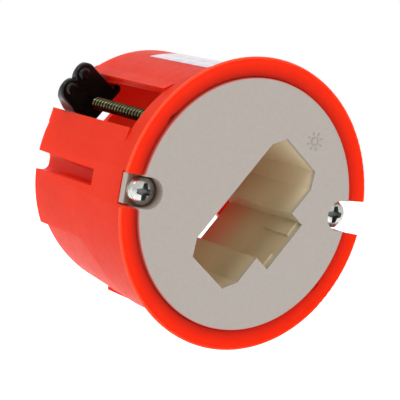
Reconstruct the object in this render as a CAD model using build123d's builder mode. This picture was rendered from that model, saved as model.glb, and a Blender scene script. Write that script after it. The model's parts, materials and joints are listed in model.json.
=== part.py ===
from build123d import *
from math import cos, degrees, radians, sin, sqrt
import os

# Hollow-wall light outlet box with its cover, two wall claws and four screws.
# Millimetres. Y runs into the wall and Y = 0 is the wall's surface, on the back of
# the flange. X runs along the two cover screws, Z is up, and the box's axis is Y.
# Pieces on the lower side are the upper ones turned half a turn about that axis.

# Flange: the ring that lies on the wall
flange_overhang = 3.6
flange_thickness = 1.0
flange_edge_round = 0.4
dish_border = 0.9
dish_depth = 0.6

# Barrel: the part that goes through the hole
barrel_radius = 34.0
barrel_draft = 0.6
straight_length = 10.0
barrel_depth = 49.2
wall = 1.7
rear_wall = 1.6
rear_edge_round = 0.5
flat_inset = 0.27
flat_rear_inset = 0.04

# Cover: the disc in the flange's mouth, with the outlet's well behind it
mouth_wall = 1.35
cover_clearance = 0.3
cover_thickness = 2.3
cover_proud = 0.15
cover_edge_round = 0.3
well_depth = 33.0
well_wall = 1.5
well_angle = 55.5
well_centre_offset = 3.3
well_length = 39.4
well_width = 18.0
well_corner_along = 4.1
well_corner_across = 2.5
key_width = 15.0
key_height = 4.7
pad_width = 4.3
pad_height = 0.8
pad_start = 1.6
pad_length = 10.5

# Cover screws, their recesses in the cover and the slots in the box
cover_screw_inset = 4.0
screw_diameter = 3.5
screw_running_clearance = 0.05
cover_head_diameter = 7.0
cover_head_height = 2.4
cover_head_dome = 0.9
cover_screw_length = 15.0
cover_seat = 3.1
seat_ring_radius = 3.2
cover_drive_angle = 20.0
screw_tip = 0.6
recess_clearance = 0.5
recess_floor = 4.4
lug_thickness = 2.0
lug_half_width = 3.75
lug_wall = 1.2
lug_overhang = 3.45
lug_cup_inset = 0.45
lug_hole_clearance = 0.25
slot_half_width = 4.15
slot_flare = 0.3
slot_clearance = 0.2
drive_length = 4.4
drive_width = 1.1
drive_depth = 1.3

# Posts that the cover screws bite in, and the grooves behind them
post_length = 13.4
post_half_width = 4.1
post_wall = 1.6
groove_half_width = 2.1
groove_rear_half_width = 2.5
groove_depth = 4.5
groove_floor_round = 1.8

# Claws, their screws and the windows they run in
claw_angle = 144.5
claw_screw_inset = 4.0
claw_screw_rear_gap = 2.8
claw_head_diameter = 6.2
claw_head_height = 2.2
claw_head_dome = 0.6
claw_head_gap = 0.3
claw_drive_length = 3.8
claw_pocket_clearance = 0.3
claw_boss_radius = 4.9
claw_hole_clearance = 0.1
window_front = 10.2
window_upper = 6.8
window_lower = 6.6
window_corner_round = 3.0
lip_rise = 0.75
lip_width = 3.4
window_inner_reach = 3.5
rear_slot_inner_reach = 10.5
rear_slot_upper = 5.0
rear_slot_lower = 7.9
claw_rest = 10.3
claw_thickness = 6.0
claw_tip_thickness = 1.2
claw_slope_start = 3.5
claw_lobe_centre = 7.7
claw_lobe_radius = 3.2
claw_inner_reach = 3.1
claw_side_clearance = 0.6
claw_stop_reach = 7.9
claw_stop_radius = 1.25
claw_edge_round = 0.5
tooth_radius = 1.7
tooth_height = 0.8
tooth_round = 0.75
tooth_centre = 8.4
tooth_offset = 2.6

# Conduit entries: slanted hollows in the barrel, and rings to break out behind
entry_angle = 236.0
entry_half_angle = 26.5
entry_depth = 3.1
entry_slope = 0.1
entry_curve_radius = 38.0
knockout_diameters = (16.0, 20.0, 16.0)
knockout_spacing = 19.5
knockout_groove = 0.8
knockout_depth = 0.5

# Paper label on the barrel's top
label_start_angle = 84.5
label_end_angle = 109.3
label_front = 11.5
label_length = 27.0
label_thickness = 0.12

# Sizes worked out from those above
overshoot = 2.0
flange_front = -flange_thickness
flange_radius = barrel_radius + flange_overhang
dish_outer_radius = flange_radius - dish_border
barrel_rear_radius = barrel_radius - barrel_draft
flat_distance = barrel_radius - flat_inset
flat_rear_distance = barrel_rear_radius - flat_rear_inset
cover_front = flange_front - cover_proud
cover_back = cover_front + cover_thickness
mouth_radius = barrel_radius - mouth_wall
cover_radius = mouth_radius - cover_clearance
rear_inside = barrel_depth - rear_wall
inner_radius = barrel_radius - wall
inner_rear_radius = barrel_rear_radius - wall
screw_x = barrel_radius - cover_screw_inset
screw_hole_radius = screw_diameter / 2 + screw_running_clearance
recess_radius = cover_head_diameter / 2 + recess_clearance
lug_reach = screw_x + lug_overhang
lug_cup_reach = cover_radius - lug_cup_inset
lug_back = recess_floor + lug_thickness
slot_back = lug_back + slot_clearance
post_back = slot_back + post_length
groove_floor = barrel_radius - groove_depth
claw_seat = cover_back + claw_head_gap + claw_head_height
claw_screw_radius = barrel_radius - claw_screw_inset
claw_screw_end = barrel_depth - claw_screw_rear_gap
claw_front = barrel_depth - claw_rest
window_floor = claw_screw_radius - window_inner_reach
rear_slot_floor = claw_screw_radius - rear_slot_inner_reach
claw_half_width = window_lower - claw_side_clearance
entry_floor_radius = barrel_radius - entry_depth
entry_side_wall = degrees(wall / barrel_radius)
sides = (0.0, 180.0)


def face_plane(y):
    """The plane across the axis at depth y, drawn as X and Z seen from the front."""
    return Plane.XZ.offset(-y)


def polar(radius, angle):
    """X and Z of a point at a radius and an angle about the box's axis."""
    return (radius * cos(radians(angle)), radius * sin(radians(angle)))


def barrel_at(y):
    """The barrel's outer radius at depth y: straight at first, then drafted."""
    share = max(0.0, y - straight_length) / (barrel_depth - straight_length)
    return barrel_radius + (barrel_rear_radius - barrel_radius) * share


def turned_plane(y, angle):
    """As face_plane, with its x direction turned to point out at an angle."""
    x, z = polar(1.0, angle)
    return Plane(origin=(0, y, 0), x_dir=(x, 0, z), z_dir=(0, -1, 0))


def entry_plane(angle):
    """The plane that an entry's curved floor is a cylinder on: slanted to the axis."""
    x, z = polar(1.0, angle)
    centre = entry_floor_radius - entry_curve_radius
    return Plane(
        origin=(centre * x, barrel_depth, centre * z),
        x_dir=(-z, 0, x),
        z_dir=(entry_slope * x, -1, entry_slope * z),
    )


def opening_points():
    """The outlet opening's outline: a long octagon with a key on one side."""
    half_length = well_length / 2
    top = well_centre_offset - well_width / 2
    bottom = well_centre_offset + well_width / 2
    end = half_length - well_corner_along
    key = key_width / 2
    low = top + well_corner_across
    high = bottom - well_corner_across
    return [
        (-end, -top), (end, -top), (half_length, -low), (half_length, -high),
        (end, -bottom), (key, -bottom), (key, -bottom - key_height),
        (-key, -bottom - key_height), (-key, -bottom), (-end, -bottom),
        (-half_length, -high), (-half_length, -low),
    ]


def entry_hollow(angle, curve_radius, half_angle):
    """What a conduit entry takes away: a sector of the barrel outside its curved floor."""
    reach = barrel_radius + overshoot
    with BuildPart() as hollow:
        with BuildSketch(turned_plane(straight_length, angle)):
            with BuildLine():
                Line((0, 0), polar(reach, -half_angle))
                ThreePointArc(polar(reach, -half_angle), (reach, 0), polar(reach, half_angle))
                Line(polar(reach, half_angle), (0, 0))
            make_face()
        extrude(amount=-barrel_depth)
        with BuildSketch(entry_plane(angle)):
            Circle(curve_radius)
        extrude(amount=2 * barrel_depth, both=True, mode=Mode.SUBTRACT)
    return hollow.part


def window_lip(side, edge):
    """A wedge along the upper window, rising towards the window's edge."""
    with BuildPart() as lip:
        for depth in (window_front, barrel_depth):
            radius = barrel_at(depth)
            crest = sqrt(radius**2 - edge**2) + lip_rise
            foot = edge + lip_width
            foot_reach = sqrt(radius**2 - foot**2)
            with BuildSketch(turned_plane(depth, claw_angle)):
                with BuildLine():
                    Polyline(
                        (crest - wall, side * edge),
                        (crest, side * edge),
                        (foot_reach, side * foot),
                        (foot_reach - wall / 2, side * foot),
                        close=True,
                    )
                make_face()
        loft(ruled=True)
    return lip.part


def screw(head_radius, head_height, dome, seat, end, cross_length, cross_angle):
    """A domed cross-head screw on the box's axis, its head's underside at seat."""
    front = seat - head_height
    shank = screw_diameter / 2
    dome_radius = (head_radius**2 + dome**2) / (2 * dome)
    halfway = head_radius / 2
    halfway_y = front + dome_radius - sqrt(dome_radius**2 - halfway**2)
    with BuildPart() as piece:
        with BuildSketch(Plane.XY):
            with BuildLine():
                ThreePointArc((0, front), (halfway, halfway_y), (head_radius, front + dome))
                Polyline(
                    (head_radius, front + dome),
                    (head_radius, seat),
                    (shank, seat),
                    (shank, end - screw_tip),
                    (shank - screw_tip, end),
                    (0, end),
                    (0, front),
                )
            make_face()
        revolve(axis=Axis.Y)
        with BuildSketch(turned_plane(front, cross_angle)):
            Rectangle(cross_length, drive_width)
            Rectangle(drive_width, cross_length)
        extrude(amount=-drive_depth, mode=Mode.SUBTRACT)
    return piece.part


# Shapes that are used more than once
outer_hollow = entry_hollow(entry_angle, entry_curve_radius, entry_half_angle)
inner_hollow = entry_hollow(
    entry_angle, entry_curve_radius - wall, entry_half_angle + entry_side_wall
)
window_lips = [window_lip(-1, window_upper), window_lip(1, window_lower)]
cover_screw = screw(
    cover_head_diameter / 2,
    cover_head_height,
    cover_head_dome,
    cover_seat,
    cover_seat + cover_screw_length,
    drive_length,
    cover_drive_angle,
)
claw_screw = screw(
    claw_head_diameter / 2,
    claw_head_height,
    claw_head_dome,
    claw_seat,
    claw_screw_end,
    claw_drive_length,
    claw_angle,
)

# Groove behind a screw post: a widening channel with a rounded floor
with BuildPart() as groove:
    with BuildSketch(Plane.YZ.offset(groove_floor)):
        with BuildLine():
            Polyline(
                (post_back, groove_half_width),
                (barrel_depth + overshoot, groove_rear_half_width),
                (barrel_depth + overshoot, -groove_rear_half_width),
                (post_back, -groove_half_width),
                close=True,
            )
        make_face()
    extrude(amount=2 * groove_depth)
    floor_face = groove.faces().sort_by(Axis.X)[0]
    fillet(floor_face.edges().group_by(SortBy.LENGTH)[-1], groove_floor_round)

# Cavity of the box: what the shell is hollowed by
with BuildPart() as cavity:
    with BuildSketch(Plane.XY):
        with BuildLine():
            Polyline(
                (0, cover_back),
                (inner_radius, cover_back),
                (inner_radius, straight_length),
                (inner_rear_radius, rear_inside),
                (0, rear_inside),
                close=True,
            )
        make_face()
    revolve(axis=Axis.Y)
    for half_turn in sides:
        add(inner_hollow, rotation=(0, half_turn, 0), mode=Mode.SUBTRACT)
        # Walls round the screw's hole and round the groove behind it
        with BuildSketch(turned_plane(slot_back, half_turn)):
            with Locations((screw_x, 0)):
                Circle(screw_hole_radius + post_wall)
        extrude(amount=-(post_length + post_wall), mode=Mode.SUBTRACT)
        with BuildSketch(turned_plane(slot_back, half_turn)):
            with Locations((groove_floor - post_wall, 0)):
                Rectangle(
                    barrel_radius, 2 * post_half_width, align=(Align.MIN, Align.CENTER)
                )
        extrude(amount=-barrel_depth, mode=Mode.SUBTRACT)
        # Boss that the claw screw turns in
        with BuildSketch(turned_plane(cover_back, claw_angle + half_turn)):
            with Locations((claw_screw_radius, 0)):
                Circle(claw_boss_radius)
                Rectangle(
                    barrel_radius, 2 * claw_boss_radius, align=(Align.MIN, Align.CENTER)
                )
        extrude(amount=-(window_front - cover_back), mode=Mode.SUBTRACT)

# Box shell: flange, barrel and rear wall, moulded in one
with BuildPart() as box_shell:
    with BuildSketch(Plane.XY):
        with BuildLine():
            Polyline(
                (0, cover_back),
                (mouth_radius, cover_back),
                (mouth_radius, flange_front + dish_depth),
                (dish_outer_radius, flange_front),
                (flange_radius, flange_front),
                (flange_radius, 0),
                (barrel_radius, 0),
                (barrel_radius, straight_length),
                (barrel_rear_radius, barrel_depth),
                (0, barrel_depth),
                close=True,
            )
        make_face()
    revolve(axis=Axis.Y)
    circles = box_shell.edges().filter_by(GeomType.CIRCLE)
    fillet(circles.group_by(SortBy.RADIUS)[-1], flange_edge_round)
    circles = box_shell.edges().filter_by(GeomType.CIRCLE)
    fillet(circles.sort_by(Axis.Y)[-1], rear_edge_round)
    for half_turn in sides:
        # Flat on the side, where the screw post stands behind the wall
        with BuildSketch(Plane.XY):
            with BuildLine():
                Polyline(
                    (flat_distance, 0),
                    (flat_rear_distance, barrel_depth),
                    (barrel_radius + overshoot, barrel_depth),
                    (barrel_radius + overshoot, 0),
                    close=True,
                )
            make_face()
        flat_cut = extrude(amount=barrel_radius, both=True, mode=Mode.PRIVATE)
        add(flat_cut, rotation=(0, half_turn, 0), mode=Mode.SUBTRACT)
        # Slanted hollow for the conduit entries, and the lips along the window
        add(outer_hollow, rotation=(0, half_turn, 0), mode=Mode.SUBTRACT)
        for lip in window_lips:
            add(lip, rotation=(0, half_turn, 0))
    add(cavity.part, mode=Mode.SUBTRACT)
    for half_turn in sides:
        turned_claw = claw_angle + half_turn
        # Window that the claw runs in
        with BuildSketch(turned_plane(window_front, turned_claw)):
            with Locations((window_floor, (window_lower - window_upper) / 2)):
                Rectangle(
                    flange_radius - window_floor,
                    window_upper + window_lower,
                    align=(Align.MIN, Align.CENTER),
                )
        extrude(amount=-barrel_depth, mode=Mode.SUBTRACT)
        # Its slot in the rear wall reaches further in, and further to one side
        with BuildSketch(turned_plane(rear_inside - overshoot, turned_claw)):
            with Locations((rear_slot_floor, (rear_slot_lower - rear_slot_upper) / 2)):
                Rectangle(
                    sqrt(inner_rear_radius**2 - rear_slot_lower**2) - rear_slot_floor,
                    rear_slot_upper + rear_slot_lower,
                    align=(Align.MIN, Align.CENTER),
                )
        extrude(amount=-barrel_depth, mode=Mode.SUBTRACT)
        # The upper edge's rear corner is rounded off
        out_x, out_z = polar(1.0, turned_claw)
        corner = Vector(out_x, 0, out_z) * window_floor
        corner += Vector(out_z, 0, -out_x) * window_upper
        corner += Vector(0, barrel_depth, 0)
        with BuildSketch(
            Plane(origin=corner, x_dir=(out_z, 0, -out_x), z_dir=(-out_x, 0, -out_z))
        ):
            Rectangle(window_corner_round, window_corner_round, align=Align.MIN)
            with Locations((window_corner_round, window_corner_round)):
                Circle(window_corner_round, mode=Mode.SUBTRACT)
        extrude(amount=-barrel_radius, mode=Mode.SUBTRACT)
        # Pocket for the claw screw's head, with a clear hole behind it
        with BuildSketch(turned_plane(flange_front - overshoot, turned_claw)):
            with Locations((claw_screw_radius, 0)):
                Circle(claw_head_diameter / 2 + claw_pocket_clearance)
        extrude(amount=-(claw_seat - flange_front + overshoot), mode=Mode.SUBTRACT)
        with BuildSketch(turned_plane(flange_front, turned_claw)):
            with Locations((claw_screw_radius, 0)):
                Circle(screw_diameter / 2 + claw_hole_clearance)
        extrude(amount=-(window_front - flange_front + overshoot), mode=Mode.SUBTRACT)
        # Slot for the cover's lug, widening a little at the flange's rim
        with BuildSketch(turned_plane(flange_front - overshoot, half_turn)):
            with BuildLine():
                Polyline(
                    (screw_x, slot_half_width),
                    (mouth_radius, slot_half_width),
                    (flange_radius, slot_half_width + slot_flare),
                    (flange_radius + overshoot, slot_half_width + slot_flare),
                    (flange_radius + overshoot, -slot_half_width - slot_flare),
                    (flange_radius, -slot_half_width - slot_flare),
                    (mouth_radius, -slot_half_width),
                    (screw_x, -slot_half_width),
                    close=True,
                )
            make_face()
        extrude(amount=-(slot_back - flange_front + overshoot), mode=Mode.SUBTRACT)
        # Hole that the cover screw bites in, and the groove behind it
        with BuildSketch(turned_plane(slot_back - overshoot, half_turn)):
            with Locations((screw_x, 0)):
                Circle(screw_hole_radius)
        extrude(amount=-(post_length + 2 * overshoot), mode=Mode.SUBTRACT)
        add(groove.part, rotation=(0, half_turn, 0), mode=Mode.SUBTRACT)
    # Rings of thin wall that break out for the conduits
    for index, diameter in enumerate(knockout_diameters):
        with BuildSketch(face_plane(barrel_depth)):
            with Locations(polar((index - 1) * knockout_spacing, well_angle)):
                Circle(diameter / 2)
                Circle(diameter / 2 - knockout_groove, mode=Mode.SUBTRACT)
        extrude(amount=knockout_depth, mode=Mode.SUBTRACT)
box_shell.part.label = "box_shell"

# Cover: disc, outlet well and the two recessed lugs that its screws hold
with BuildPart() as cover:
    with BuildSketch(face_plane(cover_front)):
        Circle(cover_radius)
    extrude(amount=-cover_thickness)
    fillet(cover.edges().sort_by(Axis.Y)[0], cover_edge_round)
    with BuildSketch(turned_plane(cover_back, well_angle)):
        with BuildLine():
            Polyline(opening_points(), close=True)
            offset(amount=well_wall, kind=Kind.INTERSECTION, mode=Mode.REPLACE)
        make_face()
    extrude(amount=-(cover_front + well_depth - cover_back))
    with BuildSketch(turned_plane(cover_front - overshoot, well_angle)):
        with BuildLine():
            Polyline(opening_points(), close=True)
        make_face()
    extrude(amount=-(well_depth + 2 * overshoot), mode=Mode.SUBTRACT)
    # Pads in the key's two corners
    with BuildSketch(turned_plane(cover_front + pad_start, well_angle)):
        key_foot = -well_centre_offset - well_width / 2 - key_height
        for side in (-1, 1):
            with Locations((side * (key_width / 2 - pad_width / 2), key_foot)):
                Rectangle(pad_width, pad_height, align=(Align.CENTER, Align.MIN))
    extrude(amount=-pad_length)
    for half_turn in sides:
        # Cup behind the disc, and the lug that reaches into the box's slot
        with BuildSketch(turned_plane(cover_back, half_turn)):
            Circle(lug_cup_reach)
            with Locations((screw_x, 0)):
                Circle(recess_radius + lug_wall, mode=Mode.INTERSECT)
        extrude(amount=-(lug_back - cover_back))
        with BuildSketch(turned_plane(recess_floor, half_turn)):
            with Locations((screw_x, 0)):
                Rectangle(
                    lug_reach - screw_x, 2 * lug_half_width, align=(Align.MIN, Align.CENTER)
                )
        extrude(amount=-lug_thickness)
        # Recess for the screw's head, open at the rim
        with BuildSketch(turned_plane(cover_front - overshoot, half_turn)):
            with Locations((screw_x, 0)):
                Circle(recess_radius)
                Rectangle(
                    cover_radius, 2 * recess_radius, align=(Align.MIN, Align.CENTER)
                )
        extrude(amount=-(recess_floor - cover_front + overshoot), mode=Mode.SUBTRACT)
        # Raised ring that the head bears on, and the screw's hole
        with BuildSketch(turned_plane(cover_seat, half_turn)):
            with Locations((screw_x, 0)):
                Circle(seat_ring_radius)
        extrude(amount=-lug_thickness)
        with BuildSketch(turned_plane(cover_seat - overshoot, half_turn)):
            with Locations((screw_x, 0)):
                Circle(screw_diameter / 2 + lug_hole_clearance)
        extrude(amount=-(lug_back - cover_seat + 2 * overshoot), mode=Mode.SUBTRACT)
cover.part.label = "cover"

# Cover screws
with BuildPart() as cover_screw_right:
    with Locations((screw_x, 0, 0)):
        add(cover_screw)
cover_screw_right.part.label = "cover_screw_right"

with BuildPart() as cover_screw_left:
    with Locations((-screw_x, 0, 0)):
        add(cover_screw)
cover_screw_left.part.label = "cover_screw_left"

# Claw screws
claw_screw_x, claw_screw_z = polar(claw_screw_radius, claw_angle)
with BuildPart() as claw_screw_upper:
    with Locations((claw_screw_x, 0, claw_screw_z)):
        add(claw_screw)
claw_screw_upper.part.label = "claw_screw_upper"

with BuildPart() as claw_screw_lower:
    add(claw_screw_upper.part, rotation=(0, 180, 0))
claw_screw_lower.part.label = "claw_screw_lower"

# Wall claw: a nut block with two rounded lobes, grip teeth and a stop tip
lobe_offset = claw_half_width - claw_lobe_radius
stop_centre = claw_screw_radius - claw_inner_reach + claw_stop_radius
with BuildPart() as claw_upper:
    with BuildSketch(turned_plane(claw_front, claw_angle)):
        with Locations((claw_screw_radius - claw_inner_reach, 0)):
            Rectangle(
                claw_inner_reach + claw_lobe_centre,
                2 * claw_half_width,
                align=(Align.MIN, Align.CENTER),
            )
        for side in (-1, 1):
            with Locations((claw_screw_radius + claw_lobe_centre, side * lobe_offset)):
                Circle(claw_lobe_radius)
        with Locations((stop_centre, claw_stop_radius - claw_stop_reach)):
            Circle(claw_stop_radius)
            Rectangle(
                2 * claw_stop_radius, claw_stop_reach, align=(Align.CENTER, Align.MIN)
            )
    extrude(amount=-claw_thickness)
    # The back slopes so that the lobes grow thinner towards their tips
    claw_back = claw_front + claw_thickness
    tip_reach = claw_screw_radius + claw_lobe_centre + claw_lobe_radius
    slope_reach = claw_screw_radius + claw_slope_start
    x_out, z_out = polar(1.0, claw_angle)
    with BuildSketch(
        Plane(origin=(0, 0, 0), x_dir=(x_out, 0, z_out), z_dir=(-z_out, 0, x_out))
    ):
        with BuildLine():
            Polyline(
                (slope_reach, claw_back),
                (tip_reach, claw_front + claw_tip_thickness),
                (tip_reach + overshoot, claw_back),
                close=True,
            )
        make_face()
    extrude(amount=barrel_radius, both=True, mode=Mode.SUBTRACT)
    fillet(claw_upper.edges().group_by(Axis.Y)[0], claw_edge_round)
    with BuildSketch(turned_plane(claw_front, claw_angle)):
        for side in (-1, 1):
            with Locations((claw_screw_radius + tooth_centre, side * tooth_offset)):
                Circle(tooth_radius)
    extrude(amount=tooth_height)
    fillet(claw_upper.edges().group_by(Axis.Y)[0], tooth_round)
    with BuildSketch(turned_plane(claw_front - overshoot, claw_angle)):
        with Locations((claw_screw_radius, 0)):
            Circle(screw_hole_radius)
    extrude(amount=-(claw_thickness + 2 * overshoot), mode=Mode.SUBTRACT)
claw_upper.part.label = "claw_upper"

with BuildPart() as claw_lower:
    add(claw_upper.part, rotation=(0, 180, 0))
claw_lower.part.label = "claw_lower"

# Label: a thin band on the barrel
label_end_x, label_end_z = polar(1.0, label_end_angle)
with BuildPart() as label:
    with BuildSketch(
        Plane(
            origin=(0, 0, 0),
            x_dir=(label_end_x, 0, label_end_z),
            z_dir=(-label_end_z, 0, label_end_x),
        )
    ):
        with BuildLine():
            label_rear = label_front + label_length
            Polyline(
                (barrel_at(label_front), label_front),
                (barrel_at(label_front) + label_thickness, label_front),
                (barrel_at(label_rear) + label_thickness, label_rear),
                (barrel_at(label_rear), label_rear),
                close=True,
            )
        make_face()
    revolve(axis=Axis.Y, revolution_arc=label_end_angle - label_start_angle)
label.part.label = "label"

os.makedirs("parts", exist_ok=True)
export_step(box_shell.part, "parts/box_shell.step")
export_step(cover.part, "parts/cover.step")
export_step(cover_screw_right.part, "parts/cover_screw_right.step")
export_step(cover_screw_left.part, "parts/cover_screw_left.step")
export_step(claw_screw_upper.part, "parts/claw_screw_upper.step")
export_step(claw_screw_lower.part, "parts/claw_screw_lower.step")
export_step(claw_upper.part, "parts/claw_upper.step")
export_step(claw_lower.part, "parts/claw_lower.step")
export_step(label.part, "parts/label.step")
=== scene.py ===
import json
import math
import bmesh
import bpy
from mathutils import Matrix, Vector


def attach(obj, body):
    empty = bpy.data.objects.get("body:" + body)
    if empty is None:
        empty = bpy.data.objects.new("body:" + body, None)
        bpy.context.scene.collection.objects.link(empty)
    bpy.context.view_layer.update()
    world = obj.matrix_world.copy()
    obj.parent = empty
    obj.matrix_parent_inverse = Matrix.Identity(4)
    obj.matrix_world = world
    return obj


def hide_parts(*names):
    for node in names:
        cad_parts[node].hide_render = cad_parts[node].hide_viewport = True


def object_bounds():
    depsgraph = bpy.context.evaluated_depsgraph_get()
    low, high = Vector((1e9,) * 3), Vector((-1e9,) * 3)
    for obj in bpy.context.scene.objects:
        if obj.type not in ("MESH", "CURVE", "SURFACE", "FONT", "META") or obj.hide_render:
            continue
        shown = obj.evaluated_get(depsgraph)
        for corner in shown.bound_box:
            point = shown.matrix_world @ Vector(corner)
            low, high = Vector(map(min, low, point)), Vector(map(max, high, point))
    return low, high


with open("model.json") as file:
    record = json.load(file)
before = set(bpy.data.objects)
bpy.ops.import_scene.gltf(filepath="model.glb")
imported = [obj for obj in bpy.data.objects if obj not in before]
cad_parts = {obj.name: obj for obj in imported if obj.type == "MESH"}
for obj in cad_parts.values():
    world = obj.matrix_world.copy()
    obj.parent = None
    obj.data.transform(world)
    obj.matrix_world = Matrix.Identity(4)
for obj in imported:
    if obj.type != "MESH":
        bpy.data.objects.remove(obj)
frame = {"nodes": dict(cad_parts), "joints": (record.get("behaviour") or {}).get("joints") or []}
cad_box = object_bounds()
nodes = frame["nodes"]

# Places and sizes in metres. Each screw turns about its axis, and the cover's face is the
# frontmost part of the solids
MM = 0.001
AXES = {joint["child"]: joint["pos_m"] for joint in frame["joints"] if joint["type"] == "hinge"}
SCREW_X = AXES["right_cover_screw"][0]
COVER_FRONT = cad_box[0][1]
# The direction of the outlet opening's long axis
OPENING_ANGLE = math.radians(56.0)
OPENING_X = math.cos(OPENING_ANGLE)
OPENING_Z = math.sin(OPENING_ANGLE)


def linear(r, g, b):
    """sRGB numbers from 0 to 255 as linear shares, by the standard's curve."""
    shares = (v / 255 for v in (r, g, b))
    return tuple(v / 12.92 if v <= 0.04045 else ((v + 0.055) / 1.055) ** 2.4 for v in shares)


# Colours
WHITE = (1.0, 1.0, 1.0)
SHELL_DARK = linear(218, 35, 7)
SHELL_LIGHT = linear(224, 39, 9)
SHELL_GLOSS = (1.0, 0.75, 0.4)
FLANGE_SHADE = linear(168, 24, 14)
INSIDE_PAINTED_GLOW = linear(252, 112, 92)
GROOVE_PAINTED_SHADE = linear(196, 8, 4)
RIM_PAINTED_LIGHT = linear(246, 92, 60)
COVER_DARK = linear(161, 154, 146)
COVER_LIGHT = linear(165, 157, 150)
EDGE_PAINTED_REFLECTION = linear(200, 62, 50)
CUP_PAINTED_SHADE = linear(138, 108, 94)
MOUTH_PAINTED_SHADE = linear(183, 168, 133)
MOUTH_PAINTED_LIGHT = linear(226, 213, 181)
WELL_PAINTED_BOUNCE = linear(223, 210, 174)
WELL_REAR_PAINTED_GLOW = linear(255, 142, 112)
LABEL_FIELD_COOL = linear(200, 196, 212)
LABEL_FIELD_WARM = linear(216, 207, 216)
LABEL_FILM = linear(226, 214, 219)
CLAW_DARK = linear(2, 2, 2)
CLAW_LIGHT = linear(7, 6, 6)
NICKEL_DARK = linear(176, 176, 172)
NICKEL_LIGHT = linear(200, 200, 196)
DRIVE_SHADE_DARK = linear(96, 98, 95)
DRIVE_SHADE_LIGHT = linear(122, 124, 120)
ZINC_DARK = linear(84, 80, 56)
ZINC_LIGHT = linear(122, 118, 86)
THREAD_ROOT_SHADE = linear(14, 12, 8)
SYMBOL_DARK = linear(140, 133, 125)
SYMBOL_LIGHT = linear(147, 140, 132)
FLOOR_GREY = (0.82, 0.82, 0.82)

# The shell's tints: where each starts and where it ends, in metres
FLANGE_RADIUS = (33.0 * MM, 36.2 * MM)
FLANGE_FRONT = (0.0, -0.4 * MM)
INSIDE_FACING = (3.0 * MM, 8.0 * MM)
INSIDE_RADIUS = (31.9 * MM, 32.6 * MM)
INSIDE_START = (1.5 * MM, 3.0 * MM)
INSIDE_END = (48.0 * MM, 48.8 * MM)
GROOVE_FLOOR = (31.2 * MM, 33.6 * MM)
GROOVE_START = (28.4 * MM, 29.2 * MM)
GROOVE_SIDE = (2.6 * MM, 2.8 * MM)
GROOVE_DEPTH = (28.0 * MM, 46.0 * MM)
RIM_RADIUS = (36.9 * MM, 37.4 * MM)

# The cover's tints, in the same way
WELL_START = (-1.0 * MM, 0.6 * MM)
WELL_RADIUS = (24.5 * MM, 26.0 * MM)
MOUTH_DEPTH = (1.0 * MM, 14.0 * MM)
MOUTH_ALONG = (7.0 * MM, 15.0 * MM)
REAR_DEPTH = (18.0 * MM, 33.0 * MM)
REAR_ALONG = (6.5 * MM, 9.0 * MM)
EDGE_RADIUS = (32.0 * MM, 32.3 * MM)
EDGE_BESIDE_LUG = (4.2 * MM, 4.6 * MM)
CUP_DEPTH = (-0.9 * MM, 2.6 * MM)
CUP_RADIUS = (4.9 * MM, 5.5 * MM)
CUP_END = (33.0 * MM, 33.3 * MM)

# The label's pale fields, in metres
FIELD_WIDTH = 4.2 * MM
FIELD_HEIGHT = 5.8 * MM
FIELD_GAP = 0.9 * MM

# A noise stays near its middle, so this is the part of its range that is used
NOISE_SPAN = (0.3, 0.7)
NOISE_DETAIL = 3.0
# How far up the thread's flank the painted shade of its root reaches, from 0 at the root to 1
CREST_SPAN = (0.4, 0.95)
# The sockets of a Mix node that mixes colours
MIX_SHARE, MIX_FIRST, MIX_SECOND, MIX_RESULT = 0, 6, 7, 2


# Materials
class Tree:
    """A small helper that adds nodes to a node tree and links them."""

    def __init__(self, tree):
        self.tree = tree

    def add(self, kind, **settings):
        node = self.tree.nodes.new(kind)
        for key, value in settings.items():
            setattr(node, key, value)
        return node

    def put(self, socket, value):
        """Give a socket a link, a number, or a colour, with an alpha of 1 if it takes one."""
        if isinstance(value, bpy.types.NodeSocket):
            self.tree.links.new(value, socket)
        elif isinstance(value, tuple):
            socket.default_value = (*value, 1.0)[:len(socket.default_value)]
        else:
            socket.default_value = value

    def math(self, operation, *values):
        node = self.add("ShaderNodeMath", operation=operation)
        for socket, value in zip(node.inputs, values):
            self.put(socket, value)
        return node.outputs["Value"]

    def length(self, first, second):
        """The distance from the axis of a point with these two coordinates."""
        squares = (self.math("MULTIPLY", value, value) for value in (first, second))
        return self.math("SQRT", self.math("ADD", *squares))

    def dot(self, first, second):
        """The sum of the products of two pairs."""
        products = (self.math("MULTIPLY", a, b) for a, b in zip(first, second))
        return self.math("ADD", *products)

    def slope(self, value, span, low, high):
        """Low before the span, high after it and a straight line between."""
        node = self.add("ShaderNodeMapRange", clamp=True)
        for name, setting in (
            ("Value", value),
            ("From Min", span[0]),
            ("From Max", span[1]),
            ("To Min", low),
            ("To Max", high),
        ):
            self.put(node.inputs[name], setting)
        return node.outputs["Result"]

    def after(self, value, span):
        """A mask that rises from 0 to 1 over the span."""
        return self.slope(value, span, 0.0, 1.0)

    def before(self, value, span, rest=0.0):
        """A mask that falls from 1 to the rest over the span."""
        return self.slope(value, span, 1.0, rest)

    def split(self, vector):
        node = self.add("ShaderNodeSeparateXYZ")
        self.put(node.inputs["Vector"], vector)
        return node.outputs

    def mix(self, share, first, second):
        """A colour between two."""
        node = self.add("ShaderNodeMix", data_type="RGBA")
        for place, value in ((MIX_SHARE, share), (MIX_FIRST, first), (MIX_SECOND, second)):
            self.put(node.inputs[place], value)
        return node.outputs[MIX_RESULT]

    def tint(self, colour, target, masks, share=1.0):
        """The colour drawn towards a target by the share, as far as all the masks allow."""
        for mask in masks:
            share = self.math("MULTIPLY", mask, share)
        return self.mix(share, colour, target)


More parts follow.
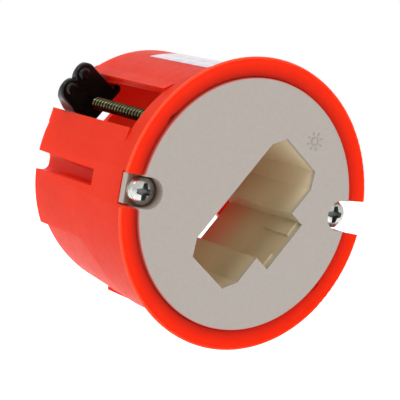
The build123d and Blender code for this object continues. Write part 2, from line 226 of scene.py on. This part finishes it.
class Surface(Tree):
    """A new material with its shader and the nodes that feed it."""

    def __init__(self, name):
        self.material = bpy.data.materials.new(name)
        self.material.use_nodes = True
        super().__init__(self.material.node_tree)
        self.shader = self.tree.nodes["Principled BSDF"]
        coordinates = self.add("ShaderNodeTexCoord")
        self.position = coordinates.outputs["Object"]
        self.normal = coordinates.outputs["Normal"]

    def set(self, name, value):
        self.put(self.shader.inputs[name], value)

    def noise(self, scale, detail=NOISE_DETAIL):
        node = self.add("ShaderNodeTexNoise")
        for name, value in (("Vector", self.position), ("Scale", scale), ("Detail", detail)):
            self.put(node.inputs[name], value)
        return node.outputs["Fac"]

    def mottle(self, noise, dark, light, span=NOISE_SPAN):
        """A colour that goes from dark to light as the noise does."""
        node = self.add("ShaderNodeValToRGB")
        for element, place, colour in zip(node.color_ramp.elements, span, (dark, light)):
            element.position = place
            element.color = (*colour, 1.0)
        self.put(node.inputs["Fac"], noise)
        return node.outputs["Color"]

    def roughen(self, scale, low, high):
        """A roughness that goes from low to high as a noise does."""
        self.set("Roughness", self.slope(self.noise(scale), NOISE_SPAN, low, high))

    def bump(self, scale, height, strength, detail=NOISE_DETAIL):
        """A fine relief from a noise."""
        node = self.add("ShaderNodeBump")
        relief = self.noise(scale, detail)
        for name, value in (("Height", relief), ("Distance", height), ("Strength", strength)):
            self.put(node.inputs[name], value)
        self.set("Normal", node.outputs["Normal"])


def red_plastic():
    n = Surface("red_plastic")
    colour = n.mottle(n.noise(scale=90.0, detail=2.0), SHELL_DARK, SHELL_LIGHT)
    x, y, z = n.split(n.position)
    radius = n.length(x, z)
    # Painted shade: the flange is darker next to its mouth, where it is thick and lets less light
    # through
    flange = (n.before(radius, FLANGE_RADIUS), n.after(y, FLANGE_FRONT))
    colour = n.tint(colour, FLANGE_SHADE, flange, share=0.9)
    # Painted light: the inside is tinted paler, for the glow of the light that comes through the
    # walls
    facing_x, _, facing_z = n.split(n.normal)
    inside = (
        n.before(n.dot((x, z), (facing_x, facing_z)), INSIDE_FACING),
        n.before(radius, INSIDE_RADIUS),
        n.after(y, INSIDE_START),
        n.before(y, INSIDE_END),
    )
    colour = n.tint(colour, INSIDE_PAINTED_GLOW, inside, share=0.8)
    # Painted shade: the grooves behind the cover screws are tinted deeper red towards their floors
    from_middle = n.math("ABSOLUTE", x)
    groove_shade = (
        n.before(from_middle, GROOVE_FLOOR),
        n.after(from_middle, GROOVE_START),
        n.before(n.math("ABSOLUTE", z), GROOVE_SIDE),
        n.before(y, GROOVE_DEPTH, rest=0.4),
    )
    colour = n.tint(colour, GROOVE_PAINTED_SHADE, groove_shade, share=0.75)
    # Painted light: the flange's thin outer rim is tinted paler, for the light that comes through
    # it
    colour = n.tint(colour, RIM_PAINTED_LIGHT, (n.after(radius, RIM_RADIUS),), share=0.6)
    n.set("Base Color", colour)
    n.roughen(scale=400.0, low=0.44, high=0.54)
    n.set("Specular IOR Level", 0.14)
    n.set("Specular Tint", SHELL_GLOSS)
    n.set("Subsurface Weight", 0.55)
    n.set("Subsurface Radius", (1.0, 0.12, 0.05))
    n.set("Subsurface Scale", 10.0 * MM)
    n.bump(scale=2600.0, height=0.02 * MM, strength=0.2, detail=2.0)
    return n.material


def grey_plastic():
    n = Surface("grey_plastic")
    colour = n.mottle(n.noise(scale=1100.0), COVER_DARK, COVER_LIGHT)
    x, y, z = n.split(n.position)
    radius = n.length(x, z)
    from_middle = n.math("ABSOLUTE", x)
    # Painted light and shade: the well's inside is tinted browner than the cover's face, for the
    # light bounced round in it, darker low down near the mouth and paler at its upper end
    along = n.dot((x, z), (OPENING_X, OPENING_Z))
    mouth = n.mix(n.after(along, MOUTH_ALONG), MOUTH_PAINTED_SHADE, MOUTH_PAINTED_LIGHT)
    well = n.mix(n.after(y, MOUTH_DEPTH), mouth, WELL_PAINTED_BOUNCE)
    colour = n.tint(colour, well, (n.after(y, WELL_START), n.before(radius, WELL_RADIUS)))
    # Painted reflection: the cover's edge, next to the shell, is tinted with the shell's red
    edge = (n.after(radius, EDGE_RADIUS), n.after(n.math("ABSOLUTE", z), EDGE_BESIDE_LUG))
    colour = n.tint(colour, EDGE_PAINTED_REFLECTION, edge, share=0.85)
    # Painted shade: the cups round the screw heads are tinted darker and browner the deeper they
    # go
    from_screw = n.length(n.math("SUBTRACT", from_middle, SCREW_X), z)
    cup_shade = (n.after(y, CUP_DEPTH), n.before(from_screw, CUP_RADIUS), n.before(from_middle, CUP_END))
    colour = n.tint(colour, CUP_PAINTED_SHADE, cup_shade, share=0.85)
    # Painted light: the well's rear end, between the key's edges, is tinted with the red glow of
    # the shell round it
    rear = (n.after(y, REAR_DEPTH), n.before(n.math("ABSOLUTE", along), REAR_ALONG, rest=0.15))
    colour = n.tint(colour, WELL_REAR_PAINTED_GLOW, rear, share=0.85)
    n.set("Base Color", colour)
    n.roughen(scale=700.0, low=0.55, high=0.65)
    n.set("Specular IOR Level", 0.3)
    n.bump(scale=3200.0, height=0.02 * MM, strength=0.15, detail=2.0)
    return n.material


def label_film():
    """A pale film with rows of plain fields, on which nothing can be read."""
    n = Surface("label_film")
    fields = n.add("ShaderNodeTexBrick", offset=0.0)
    for name, value in (
        ("Vector", n.position),
        ("Scale", 1.0),
        ("Mortar Size", FIELD_GAP),
        ("Brick Width", FIELD_WIDTH),
        ("Row Height", FIELD_HEIGHT),
        ("Color1", LABEL_FIELD_COOL),
        ("Color2", LABEL_FIELD_WARM),
        ("Mortar", LABEL_FILM),
    ):
        n.put(fields.inputs[name], value)
    n.set("Base Color", fields.outputs["Color"])
    n.set("Roughness", 0.35)
    n.bump(scale=600.0, height=0.02 * MM, strength=0.3)
    return n.material


def black_plastic():
    n = Surface("black_plastic")
    colour = n.mottle(n.noise(scale=300.0), CLAW_DARK, CLAW_LIGHT, span=(0.3, 0.75))
    n.set("Base Color", colour)
    n.roughen(scale=500.0, low=0.24, high=0.34)
    n.set("Specular IOR Level", 0.3)
    n.bump(scale=1800.0, height=0.03 * MM, strength=0.3)
    return n.material


def plated_steel(name, dark, light, smoothest, roughest):
    n = Surface(name)
    colour = n.mottle(n.noise(scale=700.0, detail=4.0), dark, light)
    # Painted shade, with some darker plating: the thread's root is darker than its crest
    crest = n.add("ShaderNodeAttribute", attribute_name="crest").outputs["Fac"]
    n.set("Base Color", n.mix(n.after(crest, CREST_SPAN), THREAD_ROOT_SHADE, colour))
    n.set("Metallic", 1.0)
    n.roughen(scale=1200.0, low=smoothest, high=roughest)
    n.bump(scale=1400.0, height=0.02 * MM, strength=0.12)
    return n.material


def symbol_grey():
    n = Surface("symbol_grey")
    # Painted shade: the sign is a darker grey than the cover, for the shading round its relief
    colour = n.mottle(n.noise(scale=1500.0), SYMBOL_DARK, SYMBOL_LIGHT, span=(0.35, 0.65))
    n.set("Base Color", colour)
    n.set("Roughness", 0.5)
    return n.material


def pale_floor():
    """A pale floor that shows white to the camera and in reflections, and keeps shadows."""
    n = Surface("pale_floor")
    n.set("Base Color", FLOOR_GREY)
    n.set("Roughness", 0.9)
    n.set("Specular IOR Level", 0.1)
    n.set("Emission Color", WHITE)
    path = n.add("ShaderNodeLightPath")
    seen = n.math("MAXIMUM", path.outputs["Is Camera Ray"], path.outputs["Is Glossy Ray"])
    n.set("Emission Strength", n.slope(seen, SEEN_SPAN, FLOOR_LIGHT, FLOOR_SEEN))
    return n.material


def paint(obj, material):
    obj.data.materials.clear()
    obj.data.materials.append(material)


NICKEL = plated_steel("nickel_steel", NICKEL_DARK, NICKEL_LIGHT, smoothest=0.16, roughest=0.24)
# Painted shade: the drive's steel is darker, for the shade in its recess
DRIVE_SHADE_STEEL = plated_steel("drive_recess_painted_shade", DRIVE_SHADE_DARK, DRIVE_SHADE_LIGHT, smoothest=0.45, roughest=0.55)
ZINC = plated_steel("zinc_steel", ZINC_DARK, ZINC_LIGHT, smoothest=0.26, roughest=0.38)
BLACK = black_plastic()
for name, material in (
    ("box_shell", red_plastic()),
    ("cover", grey_plastic()),
    ("label", label_film()),
    ("claw_upper", BLACK),
    ("claw_lower", BLACK),
):
    paint(nodes[name], material)


# Meshes
def circle(mesh, radius, y, steps):
    """A ring of vertices round the Y axis."""
    angles = (2 * math.pi * step / steps for step in range(steps))
    return [mesh.verts.new((radius * math.cos(a), y, radius * math.sin(a))) for a in angles]


def bridge(mesh, rings):
    """Faces from each ring of vertices to the next, where a ring of one vertex makes a fan."""
    for first, second in zip(rings, rings[1:]):
        count = max(len(first), len(second))
        for i in range(count):
            j = (i + 1) % count
            corners = [
                first[i % len(first)], second[i % len(second)],
                second[j % len(second)], first[j % len(first)],
            ]
            mesh.faces.new(list(dict.fromkeys(corners)))


def solid(mesh, rings):
    """A solid through the rings, with a face over each end."""
    bridge(mesh, rings)
    mesh.faces.new(rings[0])
    mesh.faces.new(list(reversed(rings[-1])))


def object_from(mesh, name):
    """A new object in the scene, made from the mesh with all its faces turned outwards."""
    bmesh.ops.recalc_face_normals(mesh, faces=mesh.faces)
    data = bpy.data.meshes.new(name)
    mesh.to_mesh(data)
    mesh.free()
    obj = bpy.data.objects.new(name, data)
    bpy.context.scene.collection.objects.link(obj)
    return obj


# Screws, in metres. The cross has a length, a width and a depth
COVER_SCREW = {
    "head_radius": 3.5 * MM,
    "head_height": 2.4 * MM,
    "dome": 0.9 * MM,
    "seat": 3.1 * MM,
    "end": 18.1 * MM,
    "root": 1.3 * MM,
    "cross": (4.8 * MM, 1.2 * MM, 1.5 * MM),
}
CLAW_SCREW = {
    "head_radius": 3.1 * MM,
    "head_height": 2.2 * MM,
    "dome": 0.6 * MM,
    "seat": 3.65 * MM,
    "end": 46.4 * MM,
    "root": 1.15 * MM,
    "cross": (3.8 * MM, 1.1 * MM, 1.3 * MM),
}
# How far the screws' crosses are turned, in radians, and the angle from which an edge is sharp
COVER_SCREW_TURN = 0.0
CLAW_SCREW_TURN = 0.3
SHARP_ANGLE = math.radians(35.0)
# A screw's first material is its steel, and its second the drive's, a darker steel of painted
# shade
STEEL_SLOT, DRIVE_SLOT = 0, 1

# The head: its dome has points at these shares of its radius, and its edge is rounded
HEAD_STEPS = 64
DOME_SHARES = (0.2, 0.4, 0.6, 0.8, 0.93)
EDGE_SHARE = 0.985
EDGE_START = 0.05 * MM
EDGE_END = 0.25 * MM
CHAMFER = 0.12 * MM
NECK = 0.4 * MM

# The cross: how far out its inner corners lie, as a share of its arms' width, and its size
# at shares of its depth
CROSS_CORNER = 0.74
CROSS_LEVELS = ((-0.4, 1.06), (0.0, 1.0), (1.0, 0.62))
# A face belongs to the cross if it lies within this share of its length from the middle,
# at least this far behind the dome and within this share of its depth
CROSS_REACH = 0.56
CROSS_BEHIND = 0.04 * MM
CROSS_BOTTOM = 1.1

# The thread: it starts this far behind the seat, and gets blunt this far from its end
CREST_RADIUS = 1.75 * MM
PITCH = 1.38 * MM
THREAD_STEPS = 28
THREAD_LEVELS = 8
THREAD_START = 0.2 * MM
THREAD_BLUNT = 0.6 * MM
# Its ridge takes up this share of the pitch on each side of the crest
RIDGE_HALF = 0.42
RIDGE_POWER = 0.8
# Behind this distance from the seat, a vertex belongs to the thread
SHANK_START = 0.1 * MM


def head_profile(head_radius, dome_radius, front, rim, seat, root):
    """The head from the middle of its front to the end of its neck, as (radius, y) points."""
    points = [(0.0, front)]
    for share in DOME_SHARES:
        radius = head_radius * share
        points.append((radius, front + dome_radius - math.sqrt(dome_radius**2 - radius**2)))
    points += [
        (head_radius * EDGE_SHARE, rim + EDGE_START),
        (head_radius, rim + EDGE_END),
        (head_radius, seat - CHAMFER),
        (head_radius - CHAMFER, seat),
        (root, seat),
        (root, seat + NECK),
        (0.0, seat + NECK),
    ]
    return points


def turned(profile):
    """A mesh turned about the Y axis from (radius, y) points, with one vertex on the axis."""
    mesh = bmesh.new()
    rings = [circle(mesh, radius, y, HEAD_STEPS if radius else 1) for radius, y in profile]
    bridge(mesh, rings)
    return mesh


def cross_cutter(front, length, width, depth):
    """A tapering cross with slanted corners between its arms, to cut the drive with."""
    mesh = bmesh.new()
    outline = []
    half, side, corner = length / 2, width / 2, width * CROSS_CORNER
    for quarter in range(4):
        turn = Matrix.Rotation(quarter * math.pi / 2, 2)
        for x, z in ((half, -side), (half, side), (corner, corner)):
            outline.append(turn @ Vector((x, z)))
    rings = []
    for share, scale in CROSS_LEVELS:
        y = front + share * depth
        rings.append([mesh.verts.new((p.x * scale, y, p.y * scale)) for p in outline])
    solid(mesh, rings)
    return mesh


def thread(start, end, root):
    """A threaded shank along Y: a helical ridge wound round, closed at both ends."""
    mesh = bmesh.new()
    rows = int(round((end - start) / PITCH * THREAD_LEVELS))
    rings = []
    for row in range(rows + 1):
        y = start + (end - start) * row / rows
        fade = max(0.0, min(1.0, (y - start) / PITCH, (end - y) / THREAD_BLUNT))
        ring = []
        for step in range(THREAD_STEPS):
            turn = step / THREAD_STEPS
            phase = ((y - start) / PITCH - turn) % 1.0
            ridge = max(0.0, 1.0 - abs(phase - 0.5) / RIDGE_HALF) ** RIDGE_POWER
            radius = root + (CREST_RADIUS - root) * ridge * fade
            angle = 2 * math.pi * turn
            ring.append(mesh.verts.new((radius * math.cos(angle), y, radius * math.sin(angle))))
        rings.append(ring)
    solid(mesh, rings)
    return mesh


def cut(obj, cutter):
    """Take the cutter's shape away from the object, and the cutter from the scene."""
    modifier = obj.modifiers.new("drive", "BOOLEAN")
    modifier.object = cutter
    modifier.operation = "DIFFERENCE"
    modifier.solver = "EXACT"
    graph = bpy.context.evaluated_depsgraph_get()
    data = bpy.data.meshes.new_from_object(obj.evaluated_get(graph))
    obj.modifiers.clear()
    obj.data = data
    bpy.data.objects.remove(cutter)


def join(obj, mesh):
    """Add the mesh, with its faces turned outwards, to the object's own."""
    bmesh.ops.recalc_face_normals(mesh, faces=mesh.faces)
    spare = bpy.data.meshes.new("spare")
    mesh.to_mesh(spare)
    mesh.free()
    whole = bmesh.new()
    whole.from_mesh(obj.data)
    whole.from_mesh(spare)
    whole.to_mesh(obj.data)
    whole.free()
    bpy.data.meshes.remove(spare)


def screw_piece(name, head_radius, head_height, dome, seat, end, root, cross):
    """A whole screw on the Y axis at the origin: domed head with a cross, and a thread."""
    front = seat - head_height
    dome_radius = (head_radius**2 + dome**2) / (2 * dome)
    profile = head_profile(head_radius, dome_radius, front, front + dome, seat, root)
    screw = object_from(turned(profile), name)
    length, _, depth = cross
    cut(screw, object_from(cross_cutter(front, *cross), name + "_cutter"))
    # Faces that lie behind the dome and inside the cross are the drive's own walls, which take the
    # darker steel of painted shade
    for face in screw.data.polygons:
        reach = math.hypot(face.center.x, face.center.z)
        dome_y = front + dome_radius - math.sqrt(dome_radius**2 - reach**2)
        behind = dome_y + CROSS_BEHIND < face.center.y < front + CROSS_BOTTOM * depth
        in_cross = behind and reach < length * CROSS_REACH
        face.material_index = DRIVE_SLOT if in_cross else STEEL_SLOT
    join(screw, thread(seat + THREAD_START, end, root))
    heights = []
    for vertex in screw.data.vertices:
        height = (math.hypot(vertex.co.x, vertex.co.z) - root) / (CREST_RADIUS - root)
        heights.append(height if vertex.co.y > seat + SHANK_START else 1.0)
    crest = screw.data.attributes.new("crest", "FLOAT", "POINT")
    crest.data.foreach_set("value", heights)
    return screw


def place(obj, turn, material, body, node):
    """Put a screw on its body's axis, in place of the node's plain one."""
    obj.data.transform(Matrix.Translation(AXES[body]) @ Matrix.Rotation(turn, 4, "Y"))
    for face in obj.data.polygons:
        face.use_smooth = True
    obj.data.set_sharp_from_angle(angle=SHARP_ANGLE)
    obj.data.materials.append(material)
    obj.data.materials.append(DRIVE_SHADE_STEEL)
    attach(obj, body)
    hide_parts(node)


for side in ("left", "right"):
    piece = screw_piece("cover_screw_" + side + "_detail", **COVER_SCREW)
    place(piece, COVER_SCREW_TURN, NICKEL, side + "_cover_screw", "cover_screw_" + side)
for side in ("upper", "lower"):
    piece = screw_piece("claw_screw_" + side + "_detail", **CLAW_SCREW)
    place(piece, CLAW_SCREW_TURN, ZINC, side + "_claw_screw", "claw_screw_" + side)

# Lamp symbol on the cover, in metres
SYMBOL_X = 17.3 * MM
SYMBOL_Z = 18.36 * MM
SYMBOL_BACK = COVER_FRONT + 0.02 * MM
SYMBOL_FRONT = COVER_FRONT - 0.09 * MM
RING_INSIDE = 0.82 * MM
RING_OUTSIDE = 1.2 * MM
RING_STEPS = 32
RAYS = 8
RAY_START = 1.65 * MM
RAY_END = 2.5 * MM
RAY_HALF_WIDTH = 0.18 * MM
RAY_CORNERS = (
    (RAY_START, -RAY_HALF_WIDTH),
    (RAY_END, -RAY_HALF_WIDTH),
    (RAY_END, RAY_HALF_WIDTH),
    (RAY_START, RAY_HALF_WIDTH),
)


def symbol_piece():
    """A generic lamp sign: a ring and eight short rays, moulded proud of the cover."""
    mesh = bmesh.new()
    loops = []
    for radius, y in (
        (RING_INSIDE, SYMBOL_BACK),
        (RING_OUTSIDE, SYMBOL_BACK),
        (RING_OUTSIDE, SYMBOL_FRONT),
        (RING_INSIDE, SYMBOL_FRONT),
    ):
        loops.append(circle(mesh, radius, y, RING_STEPS))
    bridge(mesh, loops + loops[:1])
    for ray in range(RAYS):
        turn = Matrix.Rotation(2 * math.pi * (ray + 0.5) / RAYS, 2)
        outline = [turn @ Vector(corner) for corner in RAY_CORNERS]
        rings = []
        for y in (SYMBOL_BACK, SYMBOL_FRONT):
            rings.append([mesh.verts.new((p.x, y, p.y)) for p in outline])
        solid(mesh, rings)
    obj = object_from(mesh, "lamp_symbol")
    obj.data.transform(Matrix.Translation((SYMBOL_X, 0.0, SYMBOL_Z)))
    return obj


symbol = symbol_piece()
paint(symbol, symbol_grey())
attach(symbol, "box")

# Stage: floor, world, lights and camera
FLOOR_HEIGHT = -0.4
FLOOR_HALF_WIDTH = 4.0
# How much light the floor gives off, and how bright it is where it is seen
FLOOR_LIGHT = 0.3
FLOOR_SEEN = 0.8
# A ray sees its surroundings or doesn't, as 1 or 0
SEEN_SPAN = (0.0, 1.0)
# The world's light goes from the first to the second over this span of its direction's Y
SURROUND_SPAN = (-0.7, 0.5)
SURROUND_FRONT = 0.4
SURROUND_BACK = 1.1
SURROUND_SEEN = 1.0
LIGHT_TARGET = Vector((0.0, 0.02, 0.0))
CAMERA_PLACE = (-0.29863559, -0.40477352, 0.04560112)
CAMERA_TURN = (84.620499, -10.412737, -34.144940)

floor_mesh = bmesh.new()
bmesh.ops.create_grid(floor_mesh, x_segments=1, y_segments=1, size=FLOOR_HALF_WIDTH)
floor = object_from(floor_mesh, "floor")
floor.location = (0.0, 0.0, FLOOR_HEIGHT)
paint(floor, pale_floor())

# White all round to the camera and in reflections. As light, it is brighter behind the box
# than in front of it
world = bpy.data.worlds.new("studio")
bpy.context.scene.world = world
world.use_nodes = True
sky = Tree(world.node_tree)
background = sky.tree.nodes["Background"]
direction = sky.split(sky.add("ShaderNodeTexCoord").outputs["Generated"])
surround = sky.slope(direction["Y"], SURROUND_SPAN, SURROUND_FRONT, SURROUND_BACK)
path = sky.add("ShaderNodeLightPath")
seen = sky.math("MAXIMUM", path.outputs["Is Camera Ray"], path.outputs["Is Glossy Ray"])
sky.put(background.inputs["Color"], WHITE)
sky.put(background.inputs["Strength"], sky.slope(seen, SEEN_SPAN, surround, SURROUND_SEEN))


def area_light(name, place, size, power, glossy):
    """A round light, its size in metres and its power in watts, that may show in reflections."""
    data = bpy.data.lights.new(name, "AREA")
    data.shape = "DISK"
    data.size = size
    data.energy = power
    obj = bpy.data.objects.new(name, data)
    obj.location = place
    obj.rotation_euler = (LIGHT_TARGET - Vector(place)).to_track_quat("-Z", "Y").to_euler()
    obj.visible_glossy = glossy
    bpy.context.scene.collection.objects.link(obj)


area_light("key", (0.2, -1.0, 0.28), size=0.8, power=5.6, glossy=False)
area_light("left", (-0.9, 0.25, 0.0), size=0.5, power=1.1, glossy=True)
area_light("glint", (-0.6, -0.2, 0.6), size=0.35, power=2.0, glossy=True)

camera_data = bpy.data.cameras.new("camera")
camera_data.lens = 180.0
camera_data.sensor_width = 36.0
camera_data.clip_start = 0.01
camera = bpy.data.objects.new("camera", camera_data)
camera.location = CAMERA_PLACE
camera.rotation_euler = [math.radians(v) for v in CAMERA_TURN]
bpy.context.scene.collection.objects.link(camera)
bpy.context.scene.camera = camera
bpy.context.scene.view_settings.view_transform = "Standard"
